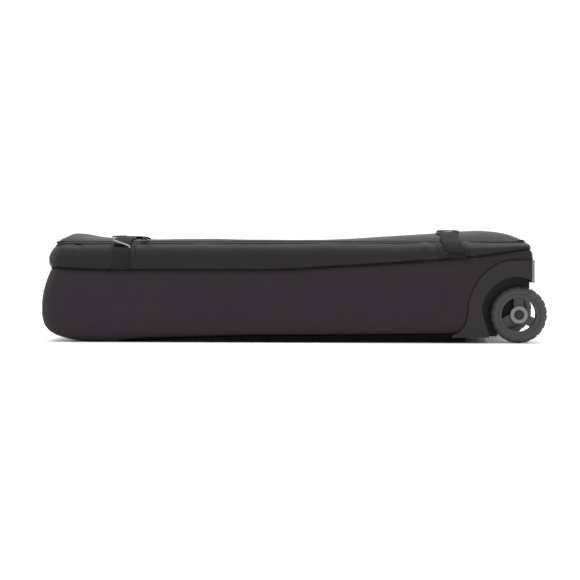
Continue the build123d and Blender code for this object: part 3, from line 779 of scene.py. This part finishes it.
def stitches(name, paths, body):
    """Rows of short threads laid along paths; each path is points and outward normals."""
    verts, faces = [], []
    for points, normals in paths:
        length = np.concatenate([[0], np.cumsum(np.linalg.norm(np.diff(points, axis=0), axis=1))])
        count = int(length[-1] / STITCH_PITCH)
        for s in (np.arange(count) + 0.5) * STITCH_PITCH:
            ends = [np.array([np.interp(s + d, length, points[:, k]) for k in range(3)])
                    for d in (-STITCH / 2, STITCH / 2)]
            normal = np.array([np.interp(s, length, normals[:, k]) for k in range(3)])
            side = np.cross(ends[1] - ends[0], normal)
            side /= np.linalg.norm(side) + 1e-12
            middle = (ends[0] + ends[1]) / 2
            ring = [middle + side * STITCH_R, middle + normal * STITCH_R * 1.5,
                    middle - side * STITCH_R, middle - normal * STITCH_R]
            base = len(verts)
            verts += [ends[0], *ring, ends[1]]
            for k in range(4):
                a, b = base + 1 + k, base + 1 + (k + 1) % 4
                faces += [(base, b, a), (base + 5, a, b)]
    return add_object(name, verts, faces, body, THREAD)


def loop_path(loop, lift):
    out = outward(loop)
    points = loop + out * lift
    return np.vstack([points, points[:1]]), np.vstack([out, out[:1]])


stitches("seam_stitching", [loop_path(upper_ring(0.085), 0.0006)], "tub")
side_rows = []
for side in (-1, 1):
    xs = np.linspace(-0.48, 0.34, 300)
    rows = np.stack([xs, np.full(300, side * 0.1789), seam_z(xs) - 0.0062], 1)
    side_rows.append((rows, np.tile([0.0, float(side), 0.0], (300, 1))))
stitches("wall_stitching", side_rows, "tub")

# ---- zip: tape and coil on the lid and on the shell -----------------------------------------
ZIP_N = 330


def zip_route(inset, rise):
    """The zip's route from the far end of the wheel end round the near side, moved inwards."""
    turn = np.linspace(0, math.pi / 2, 16)
    r = ZIP_R - inset
    x0, x1, half = LID_X0 + inset, LID_X1 - inset, ZIP_HALF_Y - inset
    far_y = 0.1490
    wheel = [(x1, y) for y in np.linspace(far_y, -half + r, 60)[:-1]]
    corner = [(x1 - r + r * math.cos(a), -half + r - r * math.sin(a)) for a in turn[:-1]]
    near = [(x, -half) for x in np.linspace(x1 - r, x0 + r, ZIP_N)[:-1]]
    other = [(x0 + r - r * math.sin(a), -half + r - r * math.cos(a)) for a in turn[:-1]]
    head = [(x0, y) for y in np.linspace(-half + r, far_y, 60)]
    plan = np.array(wheel + corner + near + other + head)
    z = lid_z(plan[:, 0], plan[:, 1]) - 0.0008 * np.exp(-inset / 0.005)
    return np.column_stack([plan, z + rise])


def shell_zip_route(u):
    """The shell's edge of the zip: its ring round the wheel end, near side and head end."""
    start = 2 * SIDE_N + END_N + 3 * CORNER_N
    ring = np.roll(upper_ring(u), -start, 0)[: SIDE_N + 2 * END_N + 2 * CORNER_N]
    return ring + outward(ring) * 0.0004 + (0, 0, 0.0007)


def tape(name, rows, body, replaces):
    return shell_sheet(name, np.stack(rows), False, 0.0009, None, body, COIL,
                       replaces)


tape("zip_tape_lid", [zip_route(inset, 0.0007) for inset in (0.0006, 0.0035, 0.0070)], "lid",
     ("zip_lid_side",))
tape("zip_tape_shell", [shell_zip_route(u) for u in (0.93, 0.96, 0.992)], "tub",
     ("zip_shell_side",))
COIL_PITCH = 0.0028


def coil(name, side, body):
    """One side's coil: a row of rounded teeth across the middle of the zip."""
    route = zip_route(0.0, 0.0017)
    length = np.concatenate([[0], np.cumsum(np.linalg.norm(np.diff(route, axis=0), axis=1))])
    verts, faces = [], []
    shift = 0.25 * side
    for n in range(int(length[-1] / COIL_PITCH)):
        s = (n + 0.5 + shift) * COIL_PITCH
        at = np.array([np.interp(s, length, route[:, k]) for k in range(3)])
        after = np.array([np.interp(s + 0.001, length, route[:, k]) for k in range(3)])
        along = (after - at) / (np.linalg.norm(after - at) + 1e-12)
        inward = np.cross([0, 0, 1.0], along) * -1
        up = np.cross(along, inward)
        up *= np.sign(up[2] + 1e-12)
        base = len(verts)
        for share, size in ((-0.0002, 0.55), (0.0009, 1.0), (0.0024, 0.6)):
            centre = at + inward * share * side
            for a, b in ((-1, -0.6), (1, -0.6), (1, 0.5), (0, 1.0), (-1, 0.5)):
                verts.append(centre + along * a * 0.0005 * size + up * b * 0.0008 * size)
        for ring in (0, 1):
            for k in range(5):
                p, q = base + ring * 5 + k, base + ring * 5 + (k + 1) % 5
                faces.append((p, q, q + 5, p + 5))
        faces += [tuple(base + k for k in (4, 3, 2, 1, 0)), tuple(base + 10 + k for k in range(5))]
    return add_object(name, verts, faces, body, COIL)


coil("zip_coil_lid", 1, "lid")
coil("zip_coil_shell", -1, "tub")

# ---- straps ---------------------------------------------------------------------------------
STRAP_HALF = 0.019
STRAP_T = 0.0021


def ribbon(name, centre, thickness, half, body, material, replaces=()):
    """Flat woven strap along a path in the YZ direction, its width along X."""
    tangent = np.gradient(centre, axis=0)
    tangent[:, 0] = 0
    tangent /= np.linalg.norm(tangent, axis=1, keepdims=True) + 1e-12
    normal = np.cross([1.0, 0, 0], tangent)
    half = np.broadcast_to(half, (len(centre),))
    section = [(-1, 0), (-1.0, .55), (-.94, 1.0), (-.5, 1.04), (0, 1.06), (.5, 1.04), (.94, 1.0),
               (1.0, .55), (1, 0), (0, 0.0)]
    rows = [[p + np.array([w * h, 0, 0]) + n * thickness * t for w, t in section]
            for p, n, h in zip(centre, normal, half)]
    count = len(section)
    verts = np.array(rows).reshape(-1, 3)
    faces = grid_faces(len(centre), count, True)
    faces.append(tuple(reversed(range(count))))
    faces.append(tuple((len(centre) - 1) * count + k for k in range(count)))
    obj = add_object(name, verts, faces, body, material, replaces)
    return obj


STRAP_START = 0.03         # share of the way from the seam to the zip where a strap begins
SIDE_STEPS = 26
TOP_STEPS = 70
SMOOTHING_PASSES = 3


def section_path(x_at, rise):
    """Path over the bag at a strap, from the near seam over the lid to the far seam."""
    top_x = x_at(ZIP_Z + 0.02)
    near = []
    for u in np.linspace(STRAP_START, 1, SIDE_STEPS):
        height = seam_z(0) * (1 - u) + ZIP_Z * u
        near.append(shell_point(np.array(x_at(height)), u, -1))
    over = [np.array([top_x, y, float(lid_z(top_x, y))])
            for y in np.linspace(-ZIP_HALF_Y, ZIP_HALF_Y, TOP_STEPS)[1:-1]]
    far = [shell_point(np.array(top_x), u, 1) for u in np.linspace(1, STRAP_START, SIDE_STEPS)]
    path = np.array(near + over + far)
    for _ in range(SMOOTHING_PASSES):
        path[1:-1] = (path[:-2] + 2 * path[1:-1] + path[2:]) / 4
    tangent = np.gradient(path, axis=0)
    tangent[:, 0] = 0
    tangent /= np.linalg.norm(tangent, axis=1, keepdims=True)
    return path + np.cross([1.0, 0, 0], tangent) * rise


def lean(top, bottom):
    """Strap's middle along the bag, by height on the near side."""
    return lambda z: float(bottom + (top - bottom) * np.clip((z - 0.165) / 0.050, 0, 1))


STRAPS = {"head": lean(-0.3665, -0.3690), "wheel": lean(0.3290, 0.3450)}
# height that each lid strap reaches down to on the near side
TONGUE_Z = {"head": 0.2060, "wheel": 0.1890}
PATCH_EDGES = {"head": ((-0.3990, -0.3890), (-0.3430, -0.3345)),
               "wheel": ((0.3130, 0.2965), (0.3720, 0.3580))}


def cut(path, start, end):
    """Part of a strap's path between two tests on its points."""
    keep = [k for k, p in enumerate(path) if start(p) and end(p)]
    return path[keep[0]: keep[-1] + 1]


def patch_sheet(name, edges, side, replaces):
    """Backing patch between its two leaning edges, given low then high."""
    (low0, high0), (low1, high1) = edges
    rows = []
    for u in np.linspace(0.045, 0.93, 22):
        x = np.linspace(low0 + (high0 - low0) * u, low1 + (high1 - low1) * u, 16)
        point = shell_point(x, u, side)
        lift = 0.0016 + fold_height(x, np.full(16, side * 0.17), point[:, 2])
        rows.append(point + np.stack([np.zeros(16), side * lift, 0.3 * lift], 1))
    grid = np.stack(rows)
    if side > 0:
        grid = grid[:, ::-1]
    obj = shell_sheet(name, grid[:, ::-1], False, 0.0014, None, "tub", PATCH,
                      replaces)
    border = np.concatenate([grid[1:-1, 1], grid[-2, 1:-1], grid[1:-1, -2][::-1],
                             grid[1, 1:-1][::-1]])
    normal = np.tile([0, float(side), 0.3], (len(border), 1))
    return border + normal * 0.0003, normal


patch_rows = []
for label, x_at in STRAPS.items():
    patch_rows.append(patch_sheet(f"patch_near_cloth_{label}", PATCH_EDGES[label], -1,
                                  (f"patch_near_{label}",)))
    straight = [(x_at(0.3) - 0.031,) * 2, (x_at(0.3) + 0.031,) * 2]
    patch_rows.append(patch_sheet(f"patch_far_cloth_{label}", straight, 1,
                                  (f"patch_far_{label}",)))
    path = section_path(x_at, 0.0024)
    near = cut(path, lambda p: p[1] < -0.1, lambda p: p[2] < 0.2005)
    ribbon(f"near_strap_{label}", near, STRAP_T, STRAP_HALF, "tub", WEBBING,
           (f"near_web_{label}", f"strap_keeper_{label}"))
    over = section_path(x_at, 0.0030)
    hook_z = TONGUE_Z[label]
    over = cut(over, lambda p: p[1] > -0.1 or p[2] > hook_z, lambda p: p[1] < 0.1235)
    over += np.array([0, -1, 0.4]) * (0.0018 * smooth(over[:, 1], -0.12, -0.16))[:, None]
    ribbon(f"top_strap_{label}", over, STRAP_T, STRAP_HALF, "lid", WEBBING,
           (f"lid_strap_{label}",))
    far_path = cut(section_path(x_at, 0.0030), lambda p: p[1] > 0.118, lambda p: True)
    back = ribbon(f"far_strap_{label}", far_path, STRAP_T, STRAP_HALF, None, WEBBING,
                  (f"far_web_{label}",))
    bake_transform(back)
stitches("patch_stitching", patch_rows, "tub")


def bar(name, points, width, height, body, material, replaces=()):
    """Rounded flat bar through points, wider than it is thick."""
    path = np.array(points, float)
    fine = np.linspace(0, len(path) - 1, 8 * (len(path) - 1) + 1)
    path = np.stack([np.interp(fine, np.arange(len(path)), path[:, k]) for k in range(3)], 1)
    shrink = np.ones(len(path))
    shrink[0] = shrink[-1] = 0.55
    tangent = np.gradient(path, axis=0)
    tangent /= np.linalg.norm(tangent, axis=1, keepdims=True)
    side = np.cross(tangent, [0, 0, 1.0])
    side /= np.linalg.norm(side, axis=1, keepdims=True)
    up = np.cross(side, tangent)
    turn = 2 * math.pi * np.arange(12) / 12
    shape = [(np.sign(math.cos(a)) * abs(math.cos(a)) ** 0.6,
              np.sign(math.sin(a)) * abs(math.sin(a)) ** 0.6) for a in turn]
    verts = [p + s * a * width * k / 2 + u * b * height * k / 2
             for p, s, u, k in zip(path, side, up, shrink) for a, b in shape]
    faces = grid_faces(len(path), 12, True)
    faces += [tuple(reversed(range(12))), tuple((len(path) - 1) * 12 + k for k in range(12))]
    return add_object(name, verts, faces, body, material, replaces)


HOOK_Y = -0.1815
bar("hook_bar_head", [(-0.3850, HOOK_Y, 0.2180), (-0.3670, HOOK_Y, 0.2118),
                      (-0.3480, HOOK_Y, 0.2050), (-0.3500, HOOK_Y, 0.2010)],
    0.0030, 0.0034, "lid", ALUMINIUM, ("strap_hook_head",))
bar("hook_bar_wheel", [(0.3190, HOOK_Y - 0.001, 0.1905), (0.3560, HOOK_Y - 0.001, 0.1890)],
    0.0030, 0.0034, "lid", BLACK_PLASTIC, ("strap_hook_wheel",))
bar("glide_bar_light", [(0.3095, -0.0960, 0.2318), (0.3400, -0.0960, 0.2378)], 0.0030, 0.0032,
    "lid", ALUMINIUM)
GLIDE_REACH = 0.0130
GLIDE_HALF = 0.0225
GLIDE_FOLLOW = 0.6         # how much of the lid's slope a slider follows
GLIDE_RISE = 0.0054         # middle of the crossbars above the lid
GLIDE_BEND = 0.0022         # the side bars sit this much lower than the crossbars


def glide(label, x, y, slope):
    """Three-bar slider lying on a top strap; the slope is its rise along the bag."""
    def at(dx, dy):
        height = float(lid_z(x + GLIDE_FOLLOW * dx, y + dy)) + GLIDE_RISE
        height -= GLIDE_BEND * (abs(dx) > STRAP_HALF)
        return (x + dx, y + dy, height + slope * dx)

    for k, dy in enumerate((-GLIDE_REACH, 0.0, GLIDE_REACH)):
        bar(f"glide_{label}_cross{k}", [at(-GLIDE_HALF, dy), at(0, dy), at(GLIDE_HALF, dy)],
            0.0052, 0.0028, "lid", BLACK_PLASTIC,
            (f"strap_glide_{label}",) if k == 0 else ())
    for k, dx in enumerate((-GLIDE_HALF, GLIDE_HALF)):
        bar(f"glide_{label}_side{k}", [at(dx, -GLIDE_REACH), at(dx, 0), at(dx, GLIDE_REACH)],
            0.0048, 0.0030, "lid", BLACK_PLASTIC)


glide("head", -0.3720, -0.1080, -0.05)
glide("wheel", 0.3280, -0.0780, 0.03)

# zip pull: a stiff link with a moulded end, drooping over the near side from the pivot
PIVOT = np.array([-0.322, -0.150, 0.223])
pull_path = PIVOT + np.array([(0, 0, 0), (0.003, -0.003, -0.0008), (0.005, -0.007, -0.0022),
                              (0.007, -0.011, -0.0040)])
bar("pull_pin", [PIVOT + (0, -0.0048, 0), PIVOT + (0, 0.0048, 0)], 0.0018, 0.0018, "pull",
    SLIDER, ("zip_pull",))
tube("pull_link", pull_path, 0.0011, False, "pull", BLACK_PLASTIC)
bar("pull_grip", [pull_path[-1], pull_path[-1] + (0.005, -0.007, -0.0036)], 0.0052, 0.0034,
    "pull", BLACK_PLASTIC)

# ---- haul handle on the head end ------------------------------------------------------------
handle_s = np.linspace(-1, 1, 60)
handle_lift = 0.0016 + 0.0068 * smooth(1 - np.abs(handle_s), 0.10, 0.30)
handle_grid = []
for row in np.linspace(-1, 1, 7):
    shape = 0.0006 * (1 - row ** 2)
    handle_grid.append(np.stack([-0.5262 - handle_lift - shape, handle_s * 0.066,
                                 np.full(60, 0.1745) + row * 0.0125], 1))
handle = shell_sheet("handle_webbing", np.stack(handle_grid), False, 0.0022, None, "tub",
                     WEBBING, ("haul_handle",))


# ---- tyres ----------------------------------------------------------------------------------
TREAD_LUGS = 22
TYRE = [(.0030, .0440), (.0006, .0452), (0, .0468), (.0003, .0490), (.0014, .0515),
        (.0036, .0548), (.0066, .0574), (.0100, .0590), (.0155, .0598), (.0200, .0600),
        (.0220, .0600), (.0265, .0598), (.0320, .0590), (.0354, .0574), (.0384, .0548),
        (.0406, .0515), (.0417, .0490), (.0420, .0468), (.0414, .0452), (.0390, .0440)]


def tyre(label, side):
    """Moulded tyre with blocky, slightly swept lugs."""
    steps = TREAD_LUGS * 14
    turn = 2 * math.pi * np.arange(steps) / steps
    verts = []
    for depth, radius in TYRE:
        sweep = 0.10 * math.sin(math.pi * (depth / 0.042 - 0.5) * 2)
        phase = (turn * TREAD_LUGS / (2 * math.pi) + sweep) % 1.0
        groove = smooth(np.abs(phase - 0.5), 0.5 - 0.17, 0.5 - 0.08)
        middle = 1 - 0.6 * smooth(abs(depth - 0.021), 0.003, 0.0012)
        drop = 0.0015 * smooth(radius, 0.0520, 0.0575) * groove
        r = radius - drop - 0.0012 * (1 - middle) * (radius > 0.058)
        y = side * (0.176 - depth)
        verts.append(np.stack([AXLE[0] + r * np.cos(turn), np.full(steps, y),
                               AXLE[1] + r * np.sin(turn)], 1))
    rows = len(TYRE)
    faces = grid_faces(rows, steps, True)
    last = (rows - 1) * steps
    faces += [(last + k, last + (k + 1) % steps, (k + 1) % steps, k) for k in range(steps)]
    add_object(f"tyre_tread_{label}", np.concatenate(verts), faces, f"wheel_{label}",
               RUBBER, (f"tyre_{label}",))


tyre("near", -1)
tyre("far", 1)


# ---- floor, light ---------------------------------------------------------------------------
def floor():
    mesh = bpy.data.meshes.new("floor")
    mesh.from_pydata([(-9, -9, 0), (9, -9, 0), (9, 9, 0), (-9, 9, 0)], [], [(0, 1, 2, 3)])
    obj = bpy.data.objects.new("floor", mesh)
    bpy.context.scene.collection.objects.link(obj)
    paint = Shader("floor_paint", (0.90, 0.90, 0.90), 0.9)
    mesh.materials.append(paint.material)


def area_light(name, place, aim, size, power):
    data = bpy.data.lights.new(name, "AREA")
    data.shape = "RECTANGLE"
    data.size, data.size_y = size
    data.energy = power
    obj = bpy.data.objects.new(name, data)
    bpy.context.scene.collection.objects.link(obj)
    obj.location = place
    obj.rotation_euler = (Vector(place) - Vector(aim)).to_track_quat("Z", "Y").to_euler()


floor()
area_light("overhead", (0.0, 0.1, 2.4), (0, 0, 0), (3.0, 1.4), 66)
area_light("front", (1.4, -3.4, 1.5), (0.2, 0, 0.1), (2.4, 1.6), 16)
area_light("left", (-3.0, -0.6, 1.2), (0, 0, 0.1), (1.6, 1.6), 28)
world = bpy.data.worlds.new("studio")
bpy.context.scene.world = world
world.use_nodes = True
world.node_tree.nodes["Background"].inputs["Color"].default_value = (1, 1, 1, 1)
world.node_tree.nodes["Background"].inputs["Strength"].default_value = 1.15
